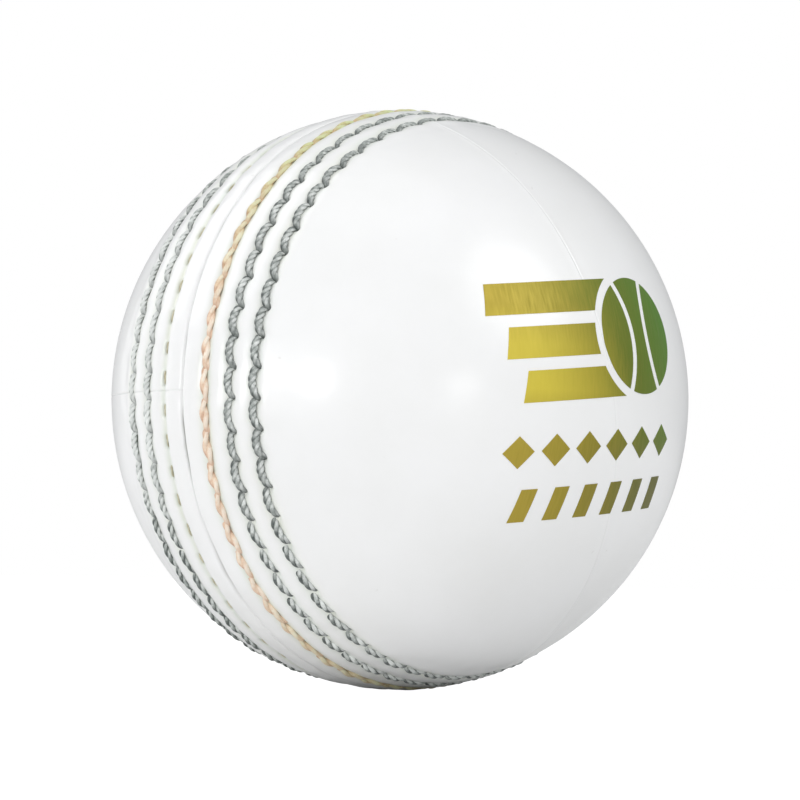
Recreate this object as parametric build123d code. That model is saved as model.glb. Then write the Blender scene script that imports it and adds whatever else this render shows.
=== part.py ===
from build123d import *
import math
import os

# A four-piece cricket ball.  Millimetres and degrees.  The origin is the ball's centre, and the seam
# runs round the X axis: its join lies in the YZ plane, the badge is printed round the +X pole.
# "Latitude" is the angle from the join, positive towards +X.  "Turn" goes round X, from +Y to +Z.

# Driving dimensions
ball_radius = 36.0
leather_thickness = 3.2
lining_thickness = 0.8
fit_gap = 0.02

nucleus_radius = 15.0
quilt_layers = 4
cork_thickness = 2.3
yarn_thickness = 1.7
gores_per_layer = 6
gore_gap_angle = 1.0
gore_tip_radius = 0.4
layer_tilt = 35.0

stitches_per_row = 60
first_stitch_turn = 3.0
right_rows = (6.3, 12.1, 17.8)
left_rows = (5.7, 11.1, 17.7)
thread_diameter = 0.7
bobbin_diameter = 0.4
hole_clearance = 0.05
hole_overlap = 0.5
stitch_lane = 0.7
dash_half_length = 0.6
thread_bend = 0.45
thread_lift = 0.1
loop_depth = 1.2
loop_gap = 0.03
link_gap = 0.1

pad_rise = 0.15
groove_depth = 0.4
groove_half_width = 1.15
groove_shoulder = 1.2

left_quarter_turn = 1.0
right_quarter_turn = 102.0
quarter_stitches = 25
quarter_pitch = 5.0
quarter_thread_diameter = 0.6
quarter_stitch_half_width = 1.3
quarter_stitch_depth = 1.4
skive_depth = 0.7
skive_margin = 0.6
channel_clearance = 0.15

foil_thickness = 0.04
print_tilt = 6.0
badge_ball_middle = (6.4, 6.6)
badge_ball_radius = 7.0
badge_gap = 1.1
badge_seam_width = 0.8
badge_seam_radius = 15.0
badge_seam_offset = 1.5
badge_bar_height = 3.7
badge_bar_starts = (-12.9, -14.3, -15.7)
bar_slant = 0.9
marks_per_row = 6
mark_height = 3.8
bar_mark_width = 2.0
upper_marks_start = (-13.4, -6.1)
upper_marks_pitch = 4.7
lower_marks_start = (-12.4, -12.4)
lower_marks_pitch = 4.3

# Radii worked out from them
leather_inside = ball_radius - leather_thickness
lining_outside = leather_inside - fit_gap
lining_inside = lining_outside - lining_thickness
quilt_outside = lining_inside - fit_gap
groove_radius = ball_radius - groove_depth
pad_radius = ball_radius + pad_rise
pitch = 360 / stitches_per_row
half_thread = thread_diameter / 2
run_radius = groove_radius + half_thread + thread_lift
dash_radius = groove_radius
needle_low_radius = lining_inside - loop_depth
bobbin_radius = needle_low_radius + half_thread + bobbin_diameter / 2 + loop_gap
link_high_radius = lining_inside - half_thread - link_gap
link_low_radius = link_high_radius - thread_diameter - link_gap
skive_radius = leather_inside + skive_depth
quarter_inner_run = skive_radius - quarter_thread_diameter / 2 - hole_clearance
quarter_outer_run = ball_radius - quarter_stitch_depth


def arc_angle(length):
    """The angle that a length covers on the ball's surface."""
    return math.degrees(length / ball_radius)


def spot(radius, latitude, turn=90.0):
    """The point at a radius from the centre, a latitude from the join and a turn about X."""
    from_axis = radius * math.cos(math.radians(latitude))
    return Vector(
        radius * math.sin(math.radians(latitude)),
        from_axis * math.cos(math.radians(turn)),
        from_axis * math.sin(math.radians(turn)),
    )


def around(part):
    """A copy of a part for each stitch of a row, turned step by step about the X axis."""
    return [Rot(X=pitch * number) * part for number in range(stitches_per_row)]


def tube(points, diameter, bend):
    """A round thread along straight runs joined by tangent arcs."""
    path = FilletPolyline(*points, radius=bend)
    section = Plane(origin=path @ 0, z_dir=path % 0) * Circle(diameter / 2)
    return sweep(section, path=path)


def ring(radius, latitude, diameter):
    """A thread that lies in a plain circle about the X axis."""
    middle = spot(radius, latitude)
    return Pos(X=middle.X) * Rot(Y=90) * Torus(middle.Z, diameter / 2)


# Quilt: a moulded nucleus under alternate layers of cork strips and wound yarn


def cork_gore(outside, inside):
    """One strip of a cork layer: a segment of a hollow sphere, trimmed short of its tips."""
    angle = 360 / gores_per_layer - gore_gap_angle
    top = math.sqrt(outside**2 - gore_tip_radius**2)
    low = math.sqrt(inside**2 - gore_tip_radius**2)
    edges = [
        Line((gore_tip_radius, 0, low), (gore_tip_radius, 0, top)),
        ThreePointArc((gore_tip_radius, 0, top), (outside, 0, 0), (gore_tip_radius, 0, -top)),
        Line((gore_tip_radius, 0, -top), (gore_tip_radius, 0, -low)),
        ThreePointArc((gore_tip_radius, 0, -low), (inside, 0, 0), (gore_tip_radius, 0, low)),
    ]
    return revolve(make_face(edges), axis=Axis.Z, revolution_arc=angle)


def cork_layer(outside, inside, tilt):
    """The strips that close round one layer, their tips on an axis tilted from the last layer's."""
    gore = cork_gore(outside, inside)
    step = 360 / gores_per_layer
    return [Rot(X=tilt, Y=tilt / 2) * Rot(Z=step * number) * gore for number in range(gores_per_layer)]


def half_ring(outside, inside):
    """Section of a hollow sphere, to be turned about the X axis."""
    edges = [
        ThreePointArc((-outside, 0, 0), (0, 0, outside), (outside, 0, 0)),
        Line((outside, 0, 0), (inside, 0, 0)),
        ThreePointArc((inside, 0, 0), (0, 0, inside), (-inside, 0, 0)),
        Line((-inside, 0, 0), (-outside, 0, 0)),
    ]
    return make_face(edges)


def thread_channels():
    """Sections of the hollows that the threads under the lining press into the outermost yarn."""
    floor = spot(link_low_radius, right_rows[0]).Z - half_thread - channel_clearance
    right = spot(lining_inside, right_rows[0] + arc_angle(stitch_lane)).X + half_thread + channel_clearance
    left = spot(lining_inside, -left_rows[0]).X - half_thread - channel_clearance
    closing = Pos((left + right) / 2, floor + ball_radius / 2) * Rectangle(right - left, ball_radius)
    channels = [Plane.XZ * closing]
    width = 2 * (stitch_lane + half_thread + channel_clearance)
    depth = lining_inside - needle_low_radius + half_thread + channel_clearance
    for latitude in (*right_rows[1:], *(-row for row in left_rows[1:])):
        channels.append(Plane.XZ * Rot(Z=-latitude) * Pos(0, lining_inside) * Rectangle(width, 2 * depth))
    return channels


def quilt():
    """Every layer inside the cover, from the nucleus out, by node name."""
    nodes = {"core_nucleus": Sphere(nucleus_radius)}
    inside = nucleus_radius + fit_gap
    for number in range(1, quilt_layers + 1):
        outside = inside + cork_thickness
        nodes[f"cork_layer_{number}"] = cork_layer(outside, inside, layer_tilt * number)
        inside = outside + fit_gap
        if number == quilt_layers:
            section = half_ring(quilt_outside, inside) - thread_channels()
        else:
            outside = inside + yarn_thickness
            section = half_ring(outside, inside)
        nodes[f"yarn_winding_{number}"] = revolve(section, axis=Axis.X)
        inside = outside + fit_gap
    return nodes


# Cover: two cups, each of two leather quarters over a thin lining


def cup_outline(rows):
    """Outer edge of a cup's section, from the join to the pole: a pad before each sunken row."""
    groove = arc_angle(groove_half_width)
    start = 0.0
    edges = []
    for row in rows:
        low = row - groove
        high = row + groove
        middle = (start + low) / 2
        pad = [spot(groove_radius, start), spot(pad_radius, middle), spot(groove_radius, low)]
        edges.append(ThreePointArc(*pad))
        edges.append(ThreePointArc(pad[2], spot(groove_radius, row), spot(groove_radius, high)))
        start = high
    shoulder = start + arc_angle(groove_shoulder)
    edges.append(Line(spot(groove_radius, start), spot(ball_radius, shoulder)))
    halfway = spot(ball_radius, (shoulder + 90) / 2)
    edges.append(ThreePointArc(spot(ball_radius, shoulder), halfway, spot(ball_radius, 90)))
    return edges


def cup(rows):
    """A whole leather cup on the +X side, before its holes are made."""
    inside = leather_inside
    edges = cup_outline(rows)
    edges.append(Line(spot(ball_radius, 90), spot(inside, 90)))
    edges.append(ThreePointArc(spot(inside, 90), spot(inside, 45), spot(inside, 0)))
    edges.append(Line(spot(inside, 0), spot(groove_radius, 0)))
    return revolve(make_face(edges), axis=Axis.X)


def lining_cup():
    """A thin lining on the +X side."""
    edges = [
        ThreePointArc(spot(lining_outside, 0), spot(lining_outside, 45), spot(lining_outside, 90)),
        Line(spot(lining_outside, 90), spot(lining_inside, 90)),
        ThreePointArc(spot(lining_inside, 90), spot(lining_inside, 45), spot(lining_inside, 0)),
        Line(spot(lining_inside, 0), spot(lining_outside, 0)),
    ]
    return revolve(make_face(edges), axis=Axis.X)


def row_holes(latitude, across):
    """The awl holes of one row: long slots across the row, or along it."""
    spread = stitch_lane if across else dash_half_length
    width = thread_diameter + 2 * hole_clearance
    base = spot(lining_inside - hole_overlap, latitude, first_stitch_turn)
    along = Vector(0, -math.sin(math.radians(first_stitch_turn)), math.cos(math.radians(first_stitch_turn)))
    outward = base.normalized()
    slot_direction = along.cross(outward) if across else along
    plane = Plane(origin=base, x_dir=slot_direction, z_dir=outward)
    depth = pad_radius - lining_inside + 2 * hole_overlap
    return around(extrude(plane * SlotCenterToCenter(2 * spread, width), depth))


def quarter_stitch(diameter, whole):
    """One blind stitch across a quarter seam that runs up the XZ plane, with its runs to the next."""
    side = quarter_stitch_half_width
    inner = quarter_inner_run
    outer = quarter_outer_run
    step = math.radians(quarter_pitch)
    entry = Vector(inner, -side, 0)
    leave = Vector(inner, side, 0)
    through = [Vector(outer, -side, 0), Vector(outer, side, 0)]
    if not whole:
        return tube([entry, *through, leave], diameter, thread_bend)
    before = Vector(inner * math.cos(step), side, -inner * math.sin(step))
    after = Vector(inner * math.cos(step), -side, inner * math.sin(step))
    ends = [(before + entry) / 2, entry, *through, leave, (leave + after) / 2]
    return tube(ends, diameter, thread_bend)


def quarter_seam(diameter, whole):
    """The row of blind stitches of a quarter seam over the +X pole, up the XZ plane."""
    stitch = quarter_stitch(diameter, whole)
    middle = (quarter_stitches - 1) / 2
    return [Rot(Y=quarter_pitch * (number - middle)) * stitch for number in range(quarter_stitches)]


def skive():
    """The shallow bed pared out of the leather's inside along a quarter seam."""
    angle = quarter_pitch * (quarter_stitches + 1)
    width = 2 * (quarter_stitch_half_width + skive_margin)
    bed = Pos(skive_radius - skive_depth, 0) * Rectangle(2 * skive_depth, width)
    return Rot(Y=angle / 2) * revolve(bed, axis=Axis.Y, revolution_arc=-angle)


def to_side(parts, side, turn):
    """Parts made up the XZ plane over the +X pole, moved to a seam on either side."""
    place = Rot(X=turn - 90) if side > 0 else Rot(X=turn + 90) * Rot(Z=180)
    return [place * part for part in parts]


def cover_side(side, rows, turn):
    """Lining, quarter pair and blind seam of one side, with the cup's holes."""
    holes = []
    for number, row in enumerate(rows):
        holes += row_holes(side * row, across=side > 0 or number > 0)
    leather = cup(rows)
    lining = lining_cup()
    if side < 0:
        leather = mirror(leather, about=Plane.YZ)
        lining = mirror(lining, about=Plane.YZ)
    tunnels = quarter_seam(quarter_thread_diameter + 2 * hole_clearance, whole=False)
    leather = leather - to_side([skive(), *tunnels], side, turn) - holes
    lining = lining - holes
    seam = to_side(quarter_seam(quarter_thread_diameter, whole=True), side, turn)
    cut = Plane(origin=(0, 0, 0), x_dir=(1, 0, 0), z_dir=spot(1, 0, turn + 90))
    upper = split(leather, bisect_by=cut, keep=Keep.TOP)
    lower = split(leather, bisect_by=cut, keep=Keep.BOTTOM)
    return lining, upper, lower, seam


# Threads of the main seam


def needle_row(latitude):
    """The slanting surface stitches of an outer row, each looped under the bobbin thread."""
    lane = arc_angle(stitch_lane)
    here = first_stitch_turn
    there = here + pitch
    points = [
        spot(needle_low_radius, latitude, here),
        spot(needle_low_radius, latitude - lane, here),
        spot(run_radius, latitude - lane, here),
        spot(run_radius, latitude + lane, there),
        spot(needle_low_radius, latitude + lane, there),
        spot(needle_low_radius, latitude, there),
    ]
    return around(tube(points, thread_diameter, thread_bend))


def closing_row():
    """The hand stitch that draws the two cups together.

    It shows as a slanting stitch on the right, goes down and under the join to the left, comes up for
    a short sunken dash, and goes back under the join to the next stitch.
    """
    lane = arc_angle(stitch_lane)
    dash = arc_angle(dash_half_length)
    right = right_rows[0]
    left = -left_rows[0]
    here = first_stitch_turn
    there = here + pitch
    rise = spot(link_high_radius, right - lane, here)
    arrive = (spot(link_high_radius, left, here - dash) + rise) / 2
    next_rise = spot(link_high_radius, right - lane, there)
    leave = spot(link_high_radius, left, there - dash)
    points = [
        arrive,
        rise,
        spot(run_radius, right - lane, here),
        spot(run_radius, right + lane, there),
        spot(link_low_radius, right + lane, there),
        spot(link_low_radius, left, there + dash),
        spot(dash_radius, left, there + dash),
        spot(dash_radius, left, there - dash),
        leave,
        (leave + next_rise) / 2,
    ]
    return around(tube(points, thread_diameter, thread_bend))


# Foil print: a plain ball behind three bars, over a row of diamonds and a row of bars


def slanted_bar(left, right, low, high):
    """A bar with both ends slanted the same way."""
    slant = bar_slant * (high - low) / badge_bar_height
    corners = [(left, low), (right, low), (right + slant, high), (left + slant, high)]
    return make_face(Polyline(*corners, close=True))


def badge_ball():
    """A disc in three parts, cut by two curved lines like a ball's seam."""
    disc = Circle(badge_ball_radius)
    half_width = badge_seam_width / 2
    seam = Circle(badge_seam_radius + half_width) - Circle(badge_seam_radius - half_width)
    for side in (-1, 1):
        disc = disc - Pos(side * (badge_seam_radius + badge_seam_offset), 0) * seam
    return [Pos(*badge_ball_middle) * part for part in disc.faces()]


def badge_bars():
    """Three bars, one above another, that stop short of the ball."""
    across, up = badge_ball_middle
    clear = Pos(across, up) * Circle(badge_ball_radius + badge_gap)
    step = (2 * badge_ball_radius - badge_bar_height) / 2
    bars = []
    for number, start in enumerate(badge_bar_starts):
        low = up - badge_ball_radius + number * step
        bars.append(slanted_bar(start, across, low, low + badge_bar_height) - clear)
    return [part for bar in bars for part in bar.faces()]


def mark_row(shape, start, step):
    """A row of equal marks."""
    across, up = start
    return [Pos(across + step * number, up) * shape for number in range(marks_per_row)]


def diamonds():
    """The upper row of marks."""
    half = mark_height / 2
    diamond = make_face(Polyline((-half, 0), (0, -half), (half, 0), (0, half), close=True))
    return mark_row(diamond, upper_marks_start, upper_marks_pitch)


def short_bars():
    """The lower row of marks."""
    half = mark_height / 2
    bar = slanted_bar(-bar_mark_width / 2, bar_mark_width / 2, -half, half)
    return mark_row(bar, lower_marks_start, lower_marks_pitch)


def foil(shapes):
    """Flat shapes printed on the leather round the +X pole."""
    face = Plane(origin=(0, 0, 0), x_dir=(0, 1, 0), z_dir=(1, 0, 0)) * Rot(Z=print_tilt)
    underside = ball_radius + fit_gap
    film = Sphere(underside + foil_thickness) - Sphere(underside)
    past_film = underside + 2 * foil_thickness
    return [extrude(face * shape, past_film) & film for shape in shapes]


def build():
    """Every node of the ball, by name."""
    nodes = quilt()
    lining, upper, lower, seam = cover_side(-1, left_rows, left_quarter_turn)
    nodes["cup_lining_left"] = lining
    nodes["leather_quarter_left_upper"] = upper
    nodes["leather_quarter_left_lower"] = lower
    nodes["quarter_seam_thread_left"] = seam
    lining, front, back, seam = cover_side(1, right_rows, right_quarter_turn)
    nodes["cup_lining_right"] = lining
    nodes["leather_quarter_right_front"] = front
    nodes["leather_quarter_right_back"] = back
    nodes["quarter_seam_thread_right"] = seam
    nodes["closing_thread"] = closing_row()
    for name, latitude in (
        ("left_outer", -left_rows[2]),
        ("left_inner", -left_rows[1]),
        ("right_inner", right_rows[1]),
        ("right_outer", right_rows[2]),
    ):
        nodes[f"needle_thread_{name}"] = needle_row(latitude)
        nodes[f"bobbin_thread_{name}"] = ring(bobbin_radius, latitude, bobbin_diameter)
    nodes["foil_badge"] = foil(badge_ball() + badge_bars())
    nodes["foil_upper_marks"] = foil(diamonds())
    nodes["foil_lower_marks"] = foil(short_bars())
    return nodes


os.makedirs("parts", exist_ok=True)
for name, shape in build().items():
    if isinstance(shape, list):
        solids = [solid for piece in shape for solid in piece.solids()]
    else:
        solids = shape.solids()
    whole = solids[0] if len(solids) == 1 else Compound(solids)
    export_step(whole, f"parts/{name}.step")
    print(name, len(solids), round(sum(solid.volume for solid in solids), 2))
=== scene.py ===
import math

import bmesh
import bpy
import numpy as np
from mathutils import Matrix, Vector


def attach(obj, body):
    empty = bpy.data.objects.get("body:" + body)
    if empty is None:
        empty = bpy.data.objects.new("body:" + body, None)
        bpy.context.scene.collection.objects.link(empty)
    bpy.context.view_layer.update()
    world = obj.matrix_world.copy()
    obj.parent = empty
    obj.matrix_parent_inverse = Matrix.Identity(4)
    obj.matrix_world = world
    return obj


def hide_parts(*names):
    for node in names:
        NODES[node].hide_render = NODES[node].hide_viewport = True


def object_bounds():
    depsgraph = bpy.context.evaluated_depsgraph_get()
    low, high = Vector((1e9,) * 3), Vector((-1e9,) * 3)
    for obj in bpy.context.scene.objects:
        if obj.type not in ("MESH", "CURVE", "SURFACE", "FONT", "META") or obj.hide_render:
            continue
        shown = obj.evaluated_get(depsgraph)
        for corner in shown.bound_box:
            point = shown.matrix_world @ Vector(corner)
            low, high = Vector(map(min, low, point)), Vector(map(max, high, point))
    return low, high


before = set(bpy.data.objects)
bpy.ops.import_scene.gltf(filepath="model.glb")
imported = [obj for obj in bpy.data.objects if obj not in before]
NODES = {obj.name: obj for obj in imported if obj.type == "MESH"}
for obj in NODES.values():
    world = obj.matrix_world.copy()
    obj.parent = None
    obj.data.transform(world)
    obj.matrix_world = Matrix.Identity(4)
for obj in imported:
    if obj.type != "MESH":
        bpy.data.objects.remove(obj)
cad_low, cad_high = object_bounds()

# The ball's frame: the origin is its centre, the seam runs round X and its join lies in the YZ plane.
# "Latitude" is the angle from the join, positive towards +X.  "Turn" goes round X, from +Y to +Z.
# Both are in degrees.  Sizes are in millimetres until a mesh is made, and in metres in materials.
MM = 0.001
BALL = 36.0
LEATHER_INSIDE = 32.8
STITCHES = 60
PITCH = 360 / STITCHES
FIRST_TURN = 3.0
GREY_ROWS = {"left_outer": -17.7, "left_inner": -11.1, "right_inner": 12.1, "right_outer": 17.8}
CLOSING_RIGHT = 6.3
CLOSING_LEFT = -5.7
QUARTERS = {
    "left_upper": (-1, 1.0),
    "left_lower": (-1, 181.0),
    "right_front": (1, 102.0),
    "right_back": (1, 282.0),
}
DEGREE_MM = math.radians(1) * BALL
rng = np.random.default_rng(11)


# Points and meshes


def smooth_step(x):
    x = np.clip(x, 0, 1)
    return x * x * (3 - 2 * x)


def spots(radius, latitude, turn):
    """Points in millimetres, from arrays of radius, latitude and turn."""
    lat = np.radians(latitude)
    angle = np.radians(turn)
    from_axis = radius * np.cos(lat)
    return np.stack([radius * np.sin(lat), from_axis * np.cos(angle), from_axis * np.sin(angle)], -1)


def add_mesh(name, points, faces, floats=None, uv=None):
    """A smooth-shaded object from points in millimetres, with any per-point values and UVs."""
    mesh = bpy.data.meshes.new(name)
    mesh.from_pydata((np.asarray(points).reshape(-1, 3) * MM).tolist(), [], faces)
    mesh.polygons.foreach_set("use_smooth", [True] * len(mesh.polygons))
    for key, values in (floats or {}).items():
        layer = mesh.attributes.new(key, "FLOAT", "POINT")
        layer.data.foreach_set("value", np.asarray(values, np.float32).ravel())
    if uv is not None:
        layer = mesh.uv_layers.new(name="strand")
        corner = np.empty(len(mesh.loops), np.int32)
        mesh.loops.foreach_get("vertex_index", corner)
        layer.data.foreach_set("uv", np.asarray(uv, np.float32)[corner].ravel())
    mesh.update()
    thing = bpy.data.objects.new(name, mesh)
    bpy.context.scene.collection.objects.link(thing)
    return thing


def grid_faces(rows, columns, start=0, closed=False, flip=False):
    """Quads between neighbouring points of a grid that is stored row by row."""
    across = columns if closed else columns - 1
    faces = []
    for row in range(rows - 1):
        low = start + row * columns
        for column in range(across):
            right = (column + 1) % columns
            face = (low + column, low + right, low + columns + right, low + columns + column)
            faces.append(face[::-1] if flip else face)
    return faces


# Stitching: where each thread enters and leaves, shared by the leather and the threads


# how far the holes stray along their row in degrees and across it in millimetres, and by what
# share stitches differ in size and in bow
HOLE_WANDER = 0.168
DASH_WANDER = 0.28
HOLE_ASIDE = 0.05
SIZE_SPREAD = 0.04
BULGE_SPREAD = 0.14


class Row:
    """One row of stitches, with the small unevenness of its holes and its thread."""

    def __init__(self, latitude, wander=HOLE_WANDER):
        self.latitude = latitude
        even = FIRST_TURN + PITCH * np.arange(STITCHES)
        self.turns = even + rng.normal(0, wander, STITCHES)
        self.side = rng.normal(0, HOLE_ASIDE, STITCHES)
        self.size = 1 + rng.normal(0, SIZE_SPREAD, STITCHES)
        self.bulge = 1 + rng.normal(0, BULGE_SPREAD, STITCHES)
        self.twist = rng.uniform(0, 2 * math.pi, STITCHES)

    def span(self, number):
        """First and last turn of a stitch."""
        first = self.turns[number % STITCHES] + 360 * (number // STITCHES)
        following = number + 1
        last = self.turns[following % STITCHES] + 360 * (following // STITCHES)
        return first, last


grey_rows = {name: Row(latitude) for name, latitude in GREY_ROWS.items()}
closing_right = Row(CLOSING_RIGHT)
closing_left = Row(CLOSING_LEFT, DASH_WANDER)

# across the row, from its middle: where a grey stitch ends, how far it bows, where a leaning one starts
GREY_TIP = 0.44
GREY_BULGE = 0.34
SLANTED_START = -0.34
# the share of each stitch's pitch that a sunken dash takes
DASH_SHARE = 0.46


def between(x, first, last, fade_in, fade_out):
    """1 between the first and last values and 0 outside them, with soft ends that lie inside."""
    return smooth_step((x - first) / fade_in) * smooth_step((last - x) / fade_out)


def lean(turn):
    """How far the stitches lie over, from 0 to 1: the ones low on the ball lean more."""
    return between(turn, 188, 350, 26, 26)


def pressed(turn):
    """How far the stitches are pressed flat, from 0 to 1: the ones high on the ball most."""
    return between(turn, 40, 150, 30, 35)


def lowest(turn):
    """How near the bottom of the ball a stitch is, from 0 to 1."""
    return between(turn, 240, 335, 25, 25)


def bow_share(leaning):
    """The share of a grey stitch's bow that is left where it leans."""
    return 1 - 0.75 * leaning


def grey_side(part, bulge, leaning):
    """Across-row place of a grey stitch's middle, in millimetres: it bows to -X and ends at +X.

    The part is how far along the stitch each point lies, from 0 to 1.
    """
    start = SLANTED_START * leaning
    bow = GREY_BULGE * bulge * bow_share(leaning) * np.sin(math.pi * part**0.9)
    return start + (GREY_TIP - start) * part ** (5 - 3.6 * leaning) - bow


def closing_side(part, bulge, leaning):
    """Across-row place of a tan stitch's middle, which crosses its row from -X to +X."""
    reach = 0.20 + 0.16 * leaning
    place = np.clip(part, 0, 1)
    return reach * (2 * place**1.2 - 1) - 0.12 * bulge * np.sin(math.pi * place)


# Leather

# pads between the rows, and the last one outside them, which is highest this far past its row
PAD_RISE = 0.17
OUTER_PAD_RISE = 0.10
OUTER_PAD_PAST = 1.2
OUTER_PAD_WIDTH = 1.0

# pits where the grey threads go in, beside their row
PIT_DEPTH = 0.62
PIT_LENGTH = 0.30
PIT_WIDTH = 0.26
PIT_SIDE = GREY_TIP + 0.02

# soft ridges and dents that run along a line: height or depth, and width from the middle
GREY_BED = (0.18, 0.5)
GREY_DIP = (0.10, 1.25)
TAN_BED = (0.14, 0.45)
TAN_DIP = (0.08, 1.1)
DASH_BED = (0.17, 0.75)
DASH_SLOT = (0.42, 0.24)
JOIN_GROOVE = (0.30, 0.15)
JOIN_SHOULDER = (0.07, 0.55)
RIGHT_RIDGE = (0.045, 0.55)
RIGHT_HAIRLINE = (0.05, 0.09)
LEFT_RIDGE = (0.02, 0.7)
LEFT_HAIRLINE = (0.045, 0.10)

# marks in the lacquer along the same lines: strength and width; the tint beside the threads is part
# stain and part painted shade
GREY_STAIN_AND_SHADE = (0.55, 0.95)
TAN_STAIN_AND_SHADE = (0.9, 0.85)
DASH_STAIN_AND_SHADE_WIDTH = 0.5
DASH_GRIME = (0.25, 0.20)
JOIN_GRIME_WIDTH = 0.11
HAIRLINE_GRIME = (0.10, 0.10)

# the leather's unevenness: height and length of its larger and smaller waves
LARGE_WAVES = (0.030, 7.0)
SMALL_WAVES = (0.014, 2.6)
WAVES = 14


def soft_waves(seed, latitude, turn, size_mm):
    """Smooth random height from a few waves, about one unit high, the same on every run."""
    own = np.random.default_rng(seed)
    place = spots(np.ones_like(latitude) * BALL, latitude, turn)
    total = np.zeros_like(latitude)
    for _ in range(WAVES):
        direction = own.normal(size=3)
        direction /= np.linalg.norm(direction)
        length = size_mm * own.uniform(0.7, 1.5)
        total += np.sin(place @ direction * 2 * math.pi / length + own.uniform(0, 2 * math.pi))
    return total / math.sqrt(WAVES / 2)


def nearest_stitch(row, turn):
    """Which stitch each turn falls in, and how far along it, from 0 to 1."""
    turns = np.concatenate([row.turns[-1:] - 360, row.turns, row.turns[:1] + 360])
    wrapped = np.mod(turn - FIRST_TURN + PITCH / 2, 360) + FIRST_TURN - PITCH / 2
    index = np.clip(np.searchsorted(turns, wrapped) - 1, 0, len(turns) - 2)
    along = (wrapped - turns[index]) / (turns[index + 1] - turns[index])
    return (index - 1) % STITCHES, np.clip(along, 0, 1)


def bell(x, width):
    """A soft bump: 1 in the middle, and near 0 at twice the width from it."""
    return np.exp(-((x / width) ** 2))


def band(x, shape):
    """A ridge, dent or mark that runs along a line, at distance x from the line."""
    strength, width = shape
    return strength * bell(x, width)


def hole_pits(row, latitude, turn):
    """Depth, from 0 to 1, of the pits where a grey row's thread goes in."""
    pits = np.zeros_like(latitude)
    across = (latitude - row.latitude) * DEGREE_MM
    for number in range(STITCHES):
        gap = np.mod(turn - row.turns[number] + 180, 360) - 180
        near = np.abs(gap) < PITCH / 3
        if not near.any():
            continue
        along = gap[near] * DEGREE_MM * math.cos(math.radians(row.latitude))
        aside = across[near] - PIT_SIDE - row.side[number]
        pits[near] = np.maximum(pits[near], bell(along, PIT_LENGTH) * bell(aside, PIT_WIDTH))
    return pits


def pads(from_join, side):
    """Height of the pads between the join and the rows, and of the last one, which dies away."""
    if side > 0:
        lines = [0.0, CLOSING_RIGHT, GREY_ROWS["right_inner"], GREY_ROWS["right_outer"]]
    else:
        lines = [0.0, CLOSING_LEFT, GREY_ROWS["left_inner"], GREY_ROWS["left_outer"]]
    height = np.zeros_like(from_join)
    for first, last in zip(lines[:-1], lines[1:]):
        low, high = sorted((first * DEGREE_MM, last * DEGREE_MM))
        inside = (from_join > low) & (from_join < high)
        place = np.clip((from_join - low) / (high - low), 0, 1)
        height += PAD_RISE * np.sin(math.pi * place) ** 0.8 * inside
    past = np.abs(from_join) - abs(lines[-1]) * DEGREE_MM
    outer_pad = OUTER_PAD_RISE * bell(past - OUTER_PAD_PAST, OUTER_PAD_WIDTH)
    return height + outer_pad * smooth_step(past / 0.8)


def grey_bed(row, latitude, turn):
    """Depth, and stain with painted shade, of a grey row's bed, which is deeper where the thread is
    pulled in; its pits get painted shade too.
    """
    stitch, part = nearest_stitch(row, turn)
    from_row = (latitude - row.latitude) * DEGREE_MM
    bow = GREY_BULGE * row.bulge[stitch] * bow_share(lean(row.turns[stitch]))
    from_thread = from_row + bow * np.sin(math.pi * part) ** 2
    pull = 0.75 + 0.25 * np.cos(2 * math.pi * part)
    pits = hole_pits(row, latitude, turn)
    depth = band(from_thread, GREY_BED) * pull + band(from_row, GREY_DIP)
    depth += PIT_DEPTH * pits * (1 - 0.6 * lean(turn))
    # the tint along the bed is part stain and part painted shade, and the tint in the pits is painted
    # shade
    return depth, np.maximum(band(from_thread, GREY_STAIN_AND_SHADE), pits)


def tan_bed(latitude):
    """Depth, and stain with painted shade, of the bed of the tan row, right of the join."""
    from_row = (latitude - CLOSING_RIGHT) * DEGREE_MM
    return band(from_row, TAN_BED) + band(from_row, TAN_DIP), band(from_row, TAN_STAIN_AND_SHADE)


def dash_bed(latitude, turn):
    """Depth, stain with painted shade, and grime of the bed of the sunken dashes, left of the join."""
    stitch, part = nearest_stitch(closing_left, turn)
    from_row = (latitude - CLOSING_LEFT) * DEGREE_MM - closing_left.side[stitch]
    dash = between(part, 0, DASH_SHARE + 0.06, 0.10, 0.10)
    depth = band(from_row, DASH_BED) + band(from_row, DASH_SLOT) * dash
    stain_and_shade = bell(from_row, DASH_STAIN_AND_SHADE_WIDTH) * (0.6 + 0.4 * dash)
    return depth, stain_and_shade, band(from_row, DASH_GRIME) * dash


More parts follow.
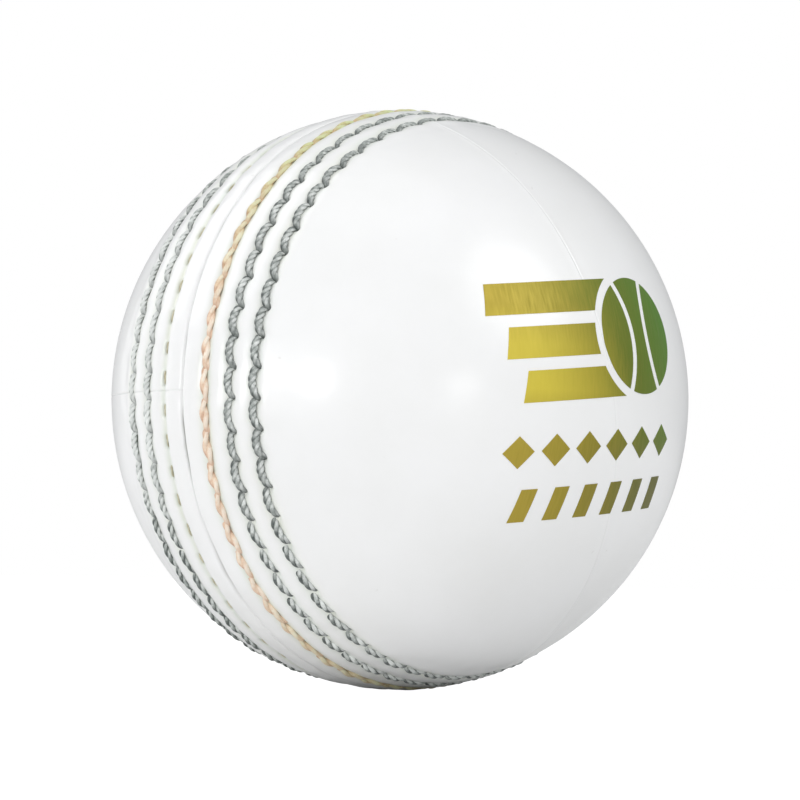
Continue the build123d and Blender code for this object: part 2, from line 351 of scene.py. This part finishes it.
def leather_height(latitude, turn, split_turn):
    """Height of the leather over the plain ball in millimetres, its stain with painted shade, and how
    grimy it is.
    """
    side = 1 if latitude.mean() > 0 else -1
    height = pads(latitude * DEGREE_MM, side)
    own_rows = [row for row in grey_rows.values() if row.latitude * side > 0]
    if side > 0:
        depth, stain_and_shade = tan_bed(latitude)
        grime = np.zeros_like(latitude)
    else:
        depth, stain_and_shade, grime = dash_bed(latitude, turn)
    height -= depth
    for row in own_rows:
        depth, row_stain_and_shade = grey_bed(row, latitude, turn)
        height -= depth
        stain_and_shade = np.maximum(stain_and_shade, row_stain_and_shade)

    # the two cups' edges roll into the join
    from_join = np.abs(latitude) * DEGREE_MM
    ragged = 1 + 0.25 * soft_waves(5, latitude, turn, 9.0)
    closed = 1 - 0.5 * lean(turn)
    height -= band(from_join / ragged, JOIN_GROOVE) * closed + band(from_join, JOIN_SHOULDER)
    darkness = np.clip(0.42 + 0.38 * soft_waves(6, latitude, turn, 9.0), 0.05, 1) * closed
    grime = np.maximum(grime, darkness * bell(from_join / ragged, JOIN_GRIME_WIDTH))

    # the quarter seam: a hairline in a low ridge.  The right ridge stays just under the foil
    off_split = np.mod(turn - split_turn + 90, 180) - 90
    from_split = np.abs(off_split) * DEGREE_MM * np.cos(np.radians(latitude))
    if side > 0:
        height += band(from_split, RIGHT_RIDGE) - band(from_split, RIGHT_HAIRLINE)
    else:
        height += band(from_split, LEFT_RIDGE) - band(from_split, LEFT_HAIRLINE)
        grime = np.maximum(grime, band(from_split, HAIRLINE_GRIME))

    # the leather is a little uneven round the stitching, and smooth away from it
    outer = max(abs(row.latitude) for row in own_rows) * DEGREE_MM
    seam_area = 1 - smooth_step((from_join - outer - 1.0) / 6.0)
    for seed, (wave_height, length) in ((1, LARGE_WAVES), (2, SMALL_WAVES)):
        height += wave_height * soft_waves(seed, latitude, turn, length) * seam_area
    return height, stain_and_shade, grime


def leather_rows():
    """Latitudes of the mesh rows on one side: finest at the join, then fine over the stitching."""
    edge = [0.0, 0.035, 0.075, 0.12, 0.18, 0.26, 0.36]
    fine = np.arange(0.48, 13.2, 0.145)
    steps = np.concatenate([edge, fine]) / DEGREE_MM
    widening = np.minimum(0.3 * 1.09 ** np.arange(200), 2.0)
    rest = steps[-1] + np.cumsum(widening)
    near_pole = [89.1, 89.5, 89.75, 89.9]
    return np.concatenate([steps, rest[rest < 88.6], near_pole])


def leather_quarter(name, side, first_turn):
    """One quarter of the cover: a displaced outer face, a plain inner face and closed edges."""
    near_split = np.array([0, 0.06, 0.14, 0.24])
    turns = np.concatenate([near_split, np.linspace(0.4, 179.6, 512), 180 - near_split[::-1]])
    turns += first_turn
    lat, turn = np.meshgrid(leather_rows() * side, turns, indexing="ij")
    height, stain_and_shade, grime = leather_height(lat, turn, first_turn)
    rows, columns = lat.shape
    outer = spots(BALL + height, lat, turn).reshape(-1, 3)
    inner_lat, inner_turn = np.meshgrid(np.linspace(0, 86, 12) * side, turns, indexing="ij")
    inner = spots(np.full_like(inner_lat, LEATHER_INSIDE), inner_lat, inner_turn).reshape(-1, 3)
    inner_start = len(outer)
    inner_rows = len(inner_lat)
    points = np.concatenate([outer, inner, [[side * BALL, 0, 0], [side * LEATHER_INSIDE, 0, 0]]])
    outer_pole = len(points) - 2
    inner_pole = len(points) - 1
    flip = side > 0
    faces = grid_faces(rows, columns, flip=flip)
    faces += grid_faces(inner_rows, columns, inner_start, flip=not flip)
    last_outer = (rows - 1) * columns
    last_inner = inner_start + (inner_rows - 1) * columns
    for column in range(columns - 1):
        cap = (last_outer + column, last_outer + column + 1, outer_pole)
        lid = (last_inner + column + 1, last_inner + column, inner_pole)
        wall = (column + 1, column, inner_start + column, inner_start + column + 1)
        for face in (cap, lid, wall):
            faces.append(face[::-1] if flip else face)
    for column in (0, columns - 1):
        around = [row * columns + column for row in range(rows)] + [outer_pole, inner_pole]
        around += [inner_start + row * columns + column for row in reversed(range(inner_rows))]
        faces.append(tuple(around if (column == 0) != flip else around[::-1]))
    unmarked = np.zeros(len(inner) + 2)
    marks = {
        "stain_and_shade": np.concatenate([stain_and_shade.ravel(), unmarked]),
        "grime": np.concatenate([grime.ravel(), unmarked]),
    }
    piece = add_mesh(f"leather_{name}", points, faces, floats=marks)
    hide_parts(f"leather_quarter_{name}")
    return piece


# Threads

# plies get a painted highlight on top and painted shade below, turned this much further round, in
# radians
PAINTED_LIGHT_SIDE = 0.75
STRAND_SIDES = 10

# of a ply: how far it winds out across and up, half its width and half its height
GREY_PLY = (0.23, 0.17, 0.31, 0.24)
TAN_PLY = (0.28, 0.15, 0.39, 0.29)
DASH_PLY = (0.07, 0.06, 0.11, 0.11)


def strand(centre, across, outward, half_width, half_height, painted_light):
    """A tube of varying size along centre points, its ends closed: points, faces, UVs and painted
    light.
    """
    sides = STRAND_SIDES
    angle = np.linspace(0, 2 * math.pi, sides, endpoint=False)
    ring = (
        across[:, None, :] * (np.cos(angle)[None, :, None] * half_width[:, None, None])
        + outward[:, None, :] * (np.sin(angle)[None, :, None] * half_height[:, None, None])
    )
    points = (centre[:, None, :] + ring).reshape(-1, 3)
    count = len(centre)
    faces = grid_faces(count, sides, closed=True)
    faces.append(tuple(reversed(range(sides))))
    faces.append(tuple(range((count - 1) * sides, count * sides)))
    length = np.concatenate([[0], np.cumsum(np.linalg.norm(np.diff(centre, axis=0), axis=1))])
    uv = np.stack(np.broadcast_arrays(length[:, None], angle[None, :] / (2 * math.pi)), -1)
    return points, faces, uv.reshape(-1, 2), np.repeat(painted_light, sides)


def thread_piece(name, tubes):
    """Several tubes as one object, with a random shade for each tube and dark marks at its ends."""
    points, faces, uvs, shades, ends, painted_lights = [], [], [], [], [], []
    start = 0
    for number, (own_points, own_faces, uv, painted_light) in enumerate(tubes):
        points.append(own_points)
        faces += [tuple(index + start for index in face) for face in own_faces]
        uvs.append(uv + [number * 3.7, 0])
        shades.append(np.full(len(own_points), rng.uniform()))
        along = uv[:, 0] / uv[:, 0].max()
        first = rng.uniform(0.2, 0.5)
        last = rng.uniform(0.7, 1.0)
        ends.append(np.maximum(first * np.exp(-along / 0.07), last * bell(1 - along, 0.20)))
        painted_lights.append(painted_light)
        start += len(own_points)
    floats = {
        "shade": np.concatenate(shades),
        "tip": np.concatenate(ends),
        "painted_light": np.concatenate(painted_lights),
    }
    return add_mesh(name, np.concatenate(points), faces, floats=floats, uv=np.concatenate(uvs))


def stitch_frame(row, number, part, side_mm, height):
    """Centre points of a stitch with the directions across it and outwards."""
    first, last = row.span(number)
    turn = first + (last - first) * part
    first_side, last_side = row.side[number], row.side[(number + 1) % STITCHES]
    latitude = row.latitude + (side_mm + first_side * (1 - part) + last_side * part) / DEGREE_MM
    centre = spots(BALL + height, latitude, turn)
    outward = centre / np.linalg.norm(centre, axis=1)[:, None]
    along = np.gradient(centre, axis=0)
    along /= np.linalg.norm(along, axis=1)[:, None]
    across = np.cross(outward, along)
    across /= np.linalg.norm(across, axis=1)[:, None]
    outward = np.cross(along, across)
    return centre, across, outward


def twisted(stitch, size, phase, ply, plies=2, painted_light_offset=0.0, leaning=0.0, flat=0.0):
    """The plies of one stitch, wound round each other, with painted light on one side and painted shade
    on the other, paler the larger the painted light offset.
    """
    centre, across, outward = stitch
    spread, lift, half_width, half_height = ply
    painted_light_contrast = 0.42 + 0.32 * leaning - 0.36 * flat
    painted_light_side = PAINTED_LIGHT_SIDE + 0.75 * leaning
    tubes = []
    for number in range(plies):
        angle = phase + 2 * math.pi * number / plies
        aside = across * (np.cos(angle) * spread * size)[:, None]
        middle = centre + aside + outward * (np.sin(angle) * lift * size)[:, None]
        # painted light: each ply is lighter on its lit side and darker on its shaded side
        painted_light = 0.5 + painted_light_contrast * np.sin(angle + painted_light_side) + painted_light_offset
        tubes.append(strand(middle, across, outward, half_width * size, half_height * size, painted_light))
    return tubes


def painted_row_light(row, turn):
    """Painted light on a grey stitch: most on the left rows, between the high and low stitches, with
    painted shade on the low stitches.
    """
    if row.latitude < 0:
        middle = smooth_step((turn - 128) / 30) * (1 - lean(turn))
        return 0.56 * middle - 0.20 - 0.44 * lean(turn) + 0.08 * pressed(turn)
    return 0.08 * pressed(turn) - 0.04 * lean(turn) - 0.18


def grey_stitches(name, row):
    """A machine row: fat three-ply stitches that bow to one side and dive into their holes."""
    tubes = []
    part = np.linspace(0, 1, 34)
    for number in range(STITCHES):
        turn = row.turns[number]
        leaning, flat = lean(turn), pressed(turn)
        side = grey_side(part, row.bulge[number], leaning)
        short = flat if row.latitude < 0 else 0.0
        steep = 0.05 + 0.03 * leaning + 0.11 * short
        rest = 0.02 - 0.15 * flat - 0.08 * leaning - 0.12 * lowest(turn)
        height = rest - 0.60 * np.exp(-part / steep) - 0.70 * np.exp(-(1 - part) / steep)
        stitch = stitch_frame(row, number, part, side, height)
        thin = 0.26 + 0.24 * leaning
        size = (1 - thin + thin * np.sin(math.pi * part) ** 0.6) * row.size[number]
        size *= 1 - 0.15 * flat + 0.08 * leaning
        phase = row.twist[number] + 2 * math.pi * (1.5 - 0.5 * leaning) * part
        # painted light and painted shade for this stitch
        tubes += twisted(stitch, size, phase, GREY_PLY, 3, painted_row_light(row, turn), leaning, flat)
    piece = thread_piece(f"needle_stitches_{name}", tubes)
    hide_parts(f"needle_thread_{name}")
    return piece


def tan_stitches():
    """The hand row right of the join: leaf-shaped stitches that lap over one another."""
    tubes = []
    row = closing_right
    lap = 0.10
    part = np.linspace(-lap, 1 + lap, 36)
    inside = np.clip((part + lap) / (1 + 2 * lap), 0, 1)
    dive = 0.45 * np.exp(-inside / 0.05) + 0.5 * np.exp(-(1 - inside) / 0.05)
    height = -0.04 + 0.06 * np.sin(math.pi * inside) - dive
    for number in range(STITCHES):
        turn = row.turns[number]
        side = closing_side(part, row.bulge[number], lean(turn))
        sunk = height - 0.10 * pressed(turn) - 0.06 * lean(turn) - 0.10 * lowest(turn)
        size = (0.50 + 0.50 * np.sin(math.pi * inside) ** 0.7) * row.size[number]
        phase = 0.6 * math.sin(row.twist[number]) + 2 * math.pi * inside
        tubes += twisted(stitch_frame(row, number, part, side, sunk), size, phase, TAN_PLY)
    return thread_piece("closing_stitches_right", tubes)


def sunken_dashes():
    """The same thread left of the join, where only a short length shows deep in the leather."""
    tubes = []
    row = closing_left
    part = np.linspace(0, DASH_SHARE, 18)
    inside = part / DASH_SHARE
    height = -0.24 - 0.45 * np.exp(-inside / 0.06) - 0.45 * np.exp(-(1 - inside) / 0.06)
    for number in range(STITCHES):
        size = (0.45 + 0.55 * np.sin(math.pi * inside)) * row.size[number]
        size *= 1 - 0.25 * pressed(row.turns[number])
        phase = row.twist[number] + 2 * math.pi * 0.6 * inside
        tubes += twisted(stitch_frame(row, number, part, 0.0, height), size, phase, DASH_PLY)
    return thread_piece("closing_dashes_left", tubes)


# Foil

FOIL_TOP = BALL + 0.045
FOIL_UNDERSIDE = BALL - 0.03
# CAD points outside this radius are on the foil's top
FOIL_PARTING = BALL + 0.04
FOIL_REACH = 22.3
FOIL_CELL = 0.9


def foil_piece(node, name):
    """The foil shapes of a CAD node, cut into small faces that lie on the round leather."""
    work = bmesh.new()
    work.from_mesh(NODES[node].data)
    bmesh.ops.remove_doubles(work, verts=work.verts, dist=1e-7)
    for direction in ((0, 1, 0), (0, 0, 1)):
        for step in np.arange(-FOIL_REACH, FOIL_REACH, FOIL_CELL):
            geometry = list(work.verts) + list(work.edges) + list(work.faces)
            place = Vector(direction) * step * MM
            bmesh.ops.bisect_plane(work, geom=geometry, plane_co=place, plane_no=direction)
    work.verts.index_update()
    points = []
    for vert in work.verts:
        on_top = vert.co.length / MM > FOIL_PARTING
        points.append(vert.co.normalized() * (FOIL_TOP if on_top else FOIL_UNDERSIDE))
    faces = [[vert.index for vert in face.verts] for face in work.faces]
    work.free()
    piece = add_mesh(name, points, faces)
    piece.data.set_sharp_from_angle(angle=math.radians(30))
    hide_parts(node)
    return piece


# Materials


class Shader:
    """A small helper for building a node material."""

    def __init__(self, name):
        self.material = bpy.data.materials.new(name)
        self.material.use_nodes = True
        self.tree = self.material.node_tree
        self.surface = self.tree.nodes["Principled BSDF"]

    def add(self, kind, **settings):
        node = self.tree.nodes.new(kind)
        for key, value in settings.items():
            if key in node.inputs:
                node.inputs[key].default_value = value
            else:
                setattr(node, key, value)
        return node

    def link(self, start, end):
        self.tree.links.new(start, end)

    def ramp(self, value, stops):
        """A colour ramp fed by a value, from (position, colour) stops."""
        node = self.add("ShaderNodeValToRGB")
        while len(node.color_ramp.elements) < len(stops):
            node.color_ramp.elements.new(0.5)
        for element, (position, colour) in zip(node.color_ramp.elements, stops):
            element.position = position
            element.color = (*colour, 1)
        self.link(value, node.inputs["Fac"])
        return node.outputs["Color"]

    def noise(self, vector, scale, detail=3.0, roughness=0.55):
        node = self.add("ShaderNodeTexNoise")
        node.inputs["Scale"].default_value = scale
        node.inputs["Detail"].default_value = detail
        node.inputs["Roughness"].default_value = roughness
        self.link(vector, node.inputs["Vector"])
        return node.outputs["Fac"]

    def math(self, operation, first, second=0.0):
        node = self.add("ShaderNodeMath", operation=operation)
        for socket, value in zip(node.inputs, (first, second)):
            if isinstance(value, (int, float)):
                socket.default_value = value
            else:
                self.link(value, socket)
        return node.outputs[0]

    def times(self, first, second):
        return self.math("MULTIPLY", first, second)

    def plus(self, first, second):
        return self.math("ADD", first, second)

    def mix(self, factor, first, second, blend="MIX"):
        node = self.add("ShaderNodeMix", data_type="RGBA", blend_type=blend)
        self.link(factor, node.inputs[0])
        for socket, value in ((node.inputs[6], first), (node.inputs[7], second)):
            if isinstance(value, tuple):
                socket.default_value = (*value, 1)
            else:
                self.link(value, socket)
        return node.outputs[2]

    def bump(self, height, strength, distance, after=None):
        node = self.add("ShaderNodeBump")
        node.inputs["Strength"].default_value = strength
        node.inputs["Distance"].default_value = distance
        self.link(height, node.inputs["Height"])
        if after is not None:
            self.link(after, node.inputs["Normal"])
        return node.outputs["Normal"]

    def stretched(self, vector, scale):
        mapping = self.add("ShaderNodeMapping")
        mapping.inputs["Scale"].default_value = scale
        self.link(vector, mapping.inputs["Vector"])
        return mapping.outputs["Vector"]

    def place(self, scale=(1, 1, 1)):
        """Object coordinates, stretched."""
        return self.stretched(self.add("ShaderNodeTexCoord").outputs["Object"], scale)

    def axes(self, vector=None):
        """The X, Y and Z of a vector, or of the place in metres."""
        if vector is None:
            vector = self.add("ShaderNodeTexCoord").outputs["Object"]
        split = self.add("ShaderNodeSeparateXYZ")
        self.link(vector, split.inputs[0])
        return split.outputs

    def value(self, name):
        return self.add("ShaderNodeAttribute", attribute_name=name).outputs["Fac"]

    def finish(self, colour, roughness, normal=None, **settings):
        self.link(colour, self.surface.inputs["Base Color"])
        if isinstance(roughness, (int, float)):
            self.surface.inputs["Roughness"].default_value = roughness
        else:
            self.link(roughness, self.surface.inputs["Roughness"])
        if normal is not None:
            self.link(normal, self.surface.inputs["Normal"])
        for key, value in settings.items():
            self.surface.inputs[key.replace("_", " ")].default_value = value
        return self.material


def srgb(red, green, blue):
    """A colour given as it looks on screen, from 0 to 255, none of it near black."""
    return tuple(((value / 255 + 0.055) / 1.055) ** 2.4 for value in (red, green, blue))


def grey(level):
    """A plain value as a colour, for ramps that carry numbers."""
    return (level, level, level)


def white_leather():
    """White pigmented hide under lacquer: faint pores and wrinkles, with a tint beside the threads and
    in their pits that is part stain and part painted shade.
    """
    shader = Shader("white_leather")
    here = shader.place()
    cloud = shader.noise(here, 70, 4)
    body = shader.ramp(cloud, [(0.3, srgb(246, 246, 245)), (0.7, srgb(250, 250, 250))])
    # tint beside the threads and in their pits: part stain, part painted shade
    stain_and_shade = shader.value("stain_and_shade")
    patchy = shader.noise(here, 420, 3)
    strength = shader.times(stain_and_shade, shader.plus(shader.times(patchy, 0.9), 0.5))
    tint = shader.mix(shader.noise(here, 160, 2), srgb(226, 226, 196), srgb(216, 228, 222))
    colour = shader.mix(strength, body, tint)
    dirt = shader.times(shader.value("grime"), 0.9)
    colour = shader.mix(dirt, colour, srgb(112, 110, 102))
    specks = shader.noise(here, 900, 1, 0.3)
    dots = shader.ramp(specks, [(0.80, grey(0)), (0.84, grey(1))])
    colour = shader.mix(shader.times(dots, 0.15), colour, srgb(170, 165, 155))
    grain = shader.noise(here, 2600, 3, 0.6)
    wrinkle = shader.noise(here, 520, 5, 0.6)
    normal = shader.bump(wrinkle, 0.10, 0.00006)
    normal = shader.bump(grain, 0.28, 0.00002, normal)
    rough = shader.ramp(grain, [(0.3, grey(0.30)), (0.7, grey(0.38))])
    lacquer = {"Coat_Weight": 0.5, "Coat_Roughness": 0.16, "Specular_IOR_Level": 0.45}
    return shader.finish(colour, rough, normal, **lacquer)


# the end tint starts at these heights, in metres, and grows this much with each metre past them
TINT_ABOVE = 0.008
TINT_BELOW = -0.024
TINT_RISE = 48.0
TINT_FALL = -60.0


def thread(name, dark, light, pale, tip, end_tint=None):
    """Twisted waxed thread: fine fibres along each ply, with a painted highlight on each ply's top and
    lit side and painted shade in the creases, and darker tips.

    An end tint yellows it near the top of the ball, and at the very bottom.
    """
    shader = Shader(name)
    uv = shader.add("ShaderNodeUVMap", uv_map="strand").outputs["UV"]
    fibres = shader.noise(shader.stretched(uv, (1.6, 9.0, 1)), 2.2, 4, 0.65)
    patches = shader.noise(shader.place(), 1300, 2, 0.5)
    # painted light: a painted highlight along each ply's crest and lit side, and painted shade in the
    # creases between plies
    around = shader.plus(shader.times(shader.axes(uv)["Y"], 2 * math.pi), PAINTED_LIGHT_SIDE)
    painted_crest = shader.math("SINE", around)
    height = shader.plus(shader.times(painted_crest, 0.30), shader.times(shader.value("painted_light"), 0.55))
    mottle = shader.plus(shader.times(fibres, 0.8), shader.times(patches, 0.9))
    mixed = shader.plus(shader.plus(mottle, height), -0.75)
    colour = shader.ramp(mixed, [(0.28, dark), (0.58, light), (0.92, pale)])
    if end_tint is not None:
        level = shader.axes()["Z"]
        above = shader.times(shader.plus(level, -TINT_ABOVE), TINT_RISE)
        below = shader.times(shader.plus(level, -TINT_BELOW), TINT_FALL)
        colour = shader.mix(shader.math("MAXIMUM", above, below), colour, end_tint, "MULTIPLY")
    colour = shader.mix(shader.times(shader.value("shade"), 0.22), colour, dark)
    colour = shader.mix(shader.times(shader.value("tip"), 0.85), colour, tip)
    normal = shader.bump(fibres, 0.5, 0.00008)
    return shader.finish(colour, 0.62, normal, Sheen_Weight=0.25, Sheen_Roughness=0.5)


# a place on the print, from Y and Z in metres: about 0 to 1 across it, a little aslant, and 0 to 1 up
PRINT_ACROSS = 28.0
PRINT_ASLANT = 9.0
PRINT_MIDDLE = 0.38
PRINT_FOOT = -0.018
PRINT_UP = 31.0


def foil_material():
    """Hot-pressed foil: brushed, gold on the left of the print turning green on the right."""
    shader = Shader("gold_green_foil")
    place = shader.axes()
    across = shader.plus(shader.times(place["Y"], PRINT_ACROSS), PRINT_MIDDLE)
    across = shader.plus(across, shader.times(place["Z"], PRINT_ASLANT))
    streaks = shader.noise(shader.place((1, 700, 70)), 6, 2, 0.5)
    wavering = shader.plus(across, shader.times(streaks, 0.2))
    colour = shader.ramp(wavering, [
        (0.05, srgb(184, 162, 58)),
        (0.38, srgb(154, 142, 42)),
        (0.62, srgb(112, 126, 36)),
        (0.92, srgb(92, 138, 48)),
    ])
    # a painted reflection makes the left a brighter gold halfway up the print, and the right is browner
    # towards its foot
    level = shader.times(shader.plus(place["Z"], -PRINT_FOOT), PRINT_UP)
    reflection_band = [(0.40, grey(0)), (0.56, grey(1)), (0.72, grey(0.7)), (0.86, grey(0))]
    left = shader.ramp(across, [(0.10, grey(0.8)), (0.48, grey(0))])
    painted_reflection = shader.times(shader.ramp(level, reflection_band), left)
    colour = shader.mix(painted_reflection, colour, srgb(226, 208, 74))
    foot = shader.ramp(level, [(0.26, grey(0.8)), (0.46, grey(0))])
    right = shader.ramp(across, [(0.10, grey(0.12)), (0.60, grey(1))])
    colour = shader.mix(shader.times(foot, right), colour, srgb(112, 104, 56))
    rough = shader.ramp(streaks, [(0.3, grey(0.40)), (0.7, grey(0.56))])
    normal = shader.bump(streaks, 0.12, 0.00002)
    return shader.finish(colour, rough, normal, Metallic=0.4)


def cork(name, dark, light, grain):
    """Pressed cork: round cells over a finer speckle."""
    shader = Shader(name)
    here = shader.place()
    cells = shader.add("ShaderNodeTexVoronoi", Scale=grain)
    shader.link(here, cells.inputs["Vector"])
    speck = shader.noise(here, grain * 0.6, 4)
    mixed = shader.plus(cells.outputs["Distance"], speck)
    colour = shader.ramp(mixed, [(0.35, dark), (0.95, light)])
    normal = shader.bump(mixed, 0.5, 0.0003)
    return shader.finish(colour, 0.85, normal)


def wound_yarn():
    """Woollen yarn wound tight, in bands that wander."""
    shader = Shader("wound_yarn")
    bands = shader.add("ShaderNodeTexWave", Scale=330, Distortion=6.0)
    bands.inputs["Detail"].default_value = 2.0
    shader.link(shader.place((1, 0.6, 0.8)), bands.inputs["Vector"])
    fuzz = shader.noise(shader.place(), 2200, 3)
    mixed = shader.times(bands.outputs["Fac"], shader.plus(fuzz, 0.5))
    colour = shader.ramp(mixed, [(0.15, srgb(168, 146, 108)), (0.8, srgb(232, 216, 184))])
    normal = shader.bump(mixed, 0.8, 0.0002)
    return shader.finish(colour, 0.9, normal, Sheen_Weight=0.3)


def lining_leather():
    """Thin undyed lining leather, fibrous side out."""
    shader = Shader("lining_leather")
    here = shader.place()
    fibres = shader.noise(here, 1400, 5, 0.7)
    colour = shader.ramp(fibres, [(0.3, srgb(176, 148, 108)), (0.75, srgb(220, 198, 160))])
    normal = shader.bump(fibres, 0.5, 0.0001)
    return shader.finish(colour, 0.8, normal)


def linen_thread():
    """Plain waxed linen."""
    shader = Shader("linen_thread")
    fibres = shader.noise(shader.place((3, 1, 1)), 3200, 4, 0.7)
    colour = shader.ramp(fibres, [(0.3, srgb(196, 184, 150)), (0.7, srgb(240, 232, 208))])
    normal = shader.bump(fibres, 0.6, 0.00008)
    return shader.finish(colour, 0.7, normal)


def give(thing, material):
    """Make this the object's only material."""
    thing.data.materials.clear()
    thing.data.materials.append(material)


# The object

leather = white_leather()
for name, (side, first_turn) in QUARTERS.items():
    quarter = leather_quarter(name, side, first_turn)
    give(quarter, leather)
    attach(quarter, "root")

grey_thread = thread(
    "grey_thread",
    dark=srgb(84, 91, 88),
    light=srgb(164, 170, 166),
    pale=srgb(240, 243, 240),
    tip=srgb(70, 76, 74),
)
for name, row in grey_rows.items():
    stitches = grey_stitches(name, row)
    give(stitches, grey_thread)
    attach(stitches, "root")

tan_thread = thread(
    "tan_thread",
    dark=srgb(206, 164, 136),
    light=srgb(242, 214, 187),
    pale=srgb(255, 243, 226),
    tip=srgb(200, 156, 128),
    end_tint=srgb(216, 236, 194),
)
olive_thread = thread(
    "olive_thread",
    dark=srgb(146, 138, 110),
    light=srgb(202, 194, 164),
    pale=srgb(222, 216, 190),
    tip=srgb(126, 118, 96),
)
hand_row = tan_stitches()
dashes = sunken_dashes()
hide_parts("closing_thread")
for piece, material in ((hand_row, tan_thread), (dashes, olive_thread)):
    give(piece, material)
    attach(piece, "root")

foil = foil_material()
for node in ("foil_badge", "foil_upper_marks", "foil_lower_marks"):
    piece = foil_piece(node, f"{node}_print")
    give(piece, foil)
    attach(piece, "root")

linen = linen_thread()
inner_materials = {
    "core_nucleus": cork("cork_rubber", srgb(52, 36, 26), srgb(150, 106, 68), 900),
    "cork_layer": cork("cork_sheet", srgb(120, 78, 44), srgb(206, 162, 112), 650),
    "yarn_winding": wound_yarn(),
    "cup_lining": lining_leather(),
    "quarter_seam_thread": linen,
    "bobbin_thread": linen,
}
for node, thing in NODES.items():
    for start, material in inner_materials.items():
        if node.startswith(start):
            give(thing, material)


# Staging

FLOOR_HALF_WIDTH = 4.0
FLOOR_GREY = 0.84
FLOOR_GLOW = 1.22
GLOW_SHARE = 0.85
AMBIENT_LIGHT = 0.39
CAMERA_DISTANCE = 12 * BALL * MM
# azimuth and elevation in degrees, distance and width in metres, power in watts
LAMPS = {
    "key_left": (13.6, 4.5, 1.2, 0.25, 1.3),
    "key_right": (69.3, 2.4, 1.2, 0.25, 0.6),
    "front": (20.0, 10.0, 1.6, 1.8, 2.8),
    "front_low": (350.0, 2.0, 1.3, 0.5, 4.3),
    "left": (280.0, 8.0, 1.3, 0.9, 1.2),
    "right": (100.0, 37.0, 1.3, 0.9, 4.9),
    "high_left": (300.0, 42.0, 1.3, 1.2, 4.6),
    "high_right": (120.0, 42.0, 1.3, 1.2, 1.8),
    "top": (20.0, 80.0, 1.2, 0.8, 0.9),
}


def stage_floor():
    """A pale floor that the ball stands on.  It looks white, and throws back less light than that."""
    mesh = bpy.data.meshes.new("floor")
    corners = [(-1, -1), (1, -1), (1, 1), (-1, 1)]
    points = [(x * FLOOR_HALF_WIDTH, y * FLOOR_HALF_WIDTH, cad_low.z) for x, y in corners]
    mesh.from_pydata(points, [], [(0, 1, 2, 3)])
    floor = bpy.data.objects.new("floor", mesh)
    bpy.context.scene.collection.objects.link(floor)
    shader = Shader("pale_floor")
    tree = shader.tree
    path = shader.add("ShaderNodeLightPath")
    glow = shader.add("ShaderNodeEmission")
    glow.inputs["Color"].default_value = (1, 1, 1, 1)
    glow.inputs["Strength"].default_value = FLOOR_GLOW
    shader.surface.inputs["Base Color"].default_value = (*grey(FLOOR_GREY), 1)
    shader.surface.inputs["Roughness"].default_value = 0.9
    blend = shader.add("ShaderNodeMixShader")
    share = shader.times(path.outputs["Is Camera Ray"], GLOW_SHARE)
    shader.link(share, blend.inputs[0])
    shader.link(shader.surface.outputs[0], blend.inputs[1])
    shader.link(glow.outputs[0], blend.inputs[2])
    shader.link(blend.outputs[0], tree.nodes["Material Output"].inputs["Surface"])
    give(floor, shader.material)


def stage_world():
    """A background that looks white, and lights the ball softly from all round."""
    world = bpy.data.worlds.new("studio")
    bpy.context.scene.world = world
    world.use_nodes = True
    tree = world.node_tree
    seen = tree.nodes["Background"]
    seen.inputs["Color"].default_value = (1, 1, 1, 1)
    seen.inputs["Strength"].default_value = 1.0
    ambient = tree.nodes.new("ShaderNodeBackground")
    ambient.inputs["Color"].default_value = (0.96, 0.98, 1.0, 1)
    ambient.inputs["Strength"].default_value = AMBIENT_LIGHT
    path = tree.nodes.new("ShaderNodeLightPath")
    blend = tree.nodes.new("ShaderNodeMixShader")
    tree.links.new(path.outputs["Is Camera Ray"], blend.inputs[0])
    tree.links.new(ambient.outputs[0], blend.inputs[1])
    tree.links.new(seen.outputs[0], blend.inputs[2])
    tree.links.new(blend.outputs[0], tree.nodes["World Output"].inputs["Surface"])


def towards(azimuth, elevation):
    """Direction from the ball: degrees round from -Y towards +X, and up from level."""
    around = math.radians(azimuth)
    up = math.radians(elevation)
    level = math.cos(up)
    return Vector((math.sin(around) * level, -math.cos(around) * level, math.sin(up)))


def soft_lamp(name, azimuth, elevation, distance, width, power):
    """A round soft lamp that faces the ball."""
    data = bpy.data.lights.new(name, "AREA")
    data.shape = "DISK"
    data.size = width
    data.energy = power
    lamp = bpy.data.objects.new(name, data)
    place = towards(azimuth, elevation) * distance
    lamp.location = place
    lamp.rotation_mode = "QUATERNION"
    lamp.rotation_quaternion = (-place).to_track_quat("-Z", "Y")
    bpy.context.scene.collection.objects.link(lamp)


def stage_camera(azimuth, elevation, roll, lens):
    """A long lens on the ball's middle, turned slightly about its own axis."""
    back = towards(azimuth, elevation)
    level = towards(azimuth + 90, 0)
    roll = math.radians(roll)
    upright = back.cross(level)
    right = level * math.cos(roll) + upright * math.sin(roll)
    up = upright * math.cos(roll) - level * math.sin(roll)
    data = bpy.data.cameras.new("camera")
    data.sensor_width = 36.0
    data.lens = lens
    data.clip_start = 0.01
    data.clip_end = 20.0
    camera = bpy.data.objects.new("camera", data)
    turned = Matrix((right, up, back)).transposed()
    camera.matrix_world = Matrix.Translation(back * CAMERA_DISTANCE) @ turned.to_4x4()
    bpy.context.scene.collection.objects.link(camera)
    bpy.context.scene.camera = camera


stage_floor()
stage_world()
for name, settings in LAMPS.items():
    soft_lamp(name, *settings)
stage_camera(azimuth=45.7, elevation=-2.9, roll=1.2, lens=155.25)
bpy.context.scene.view_settings.view_transform = "Standard"
bpy.context.scene.view_settings.look = "None"
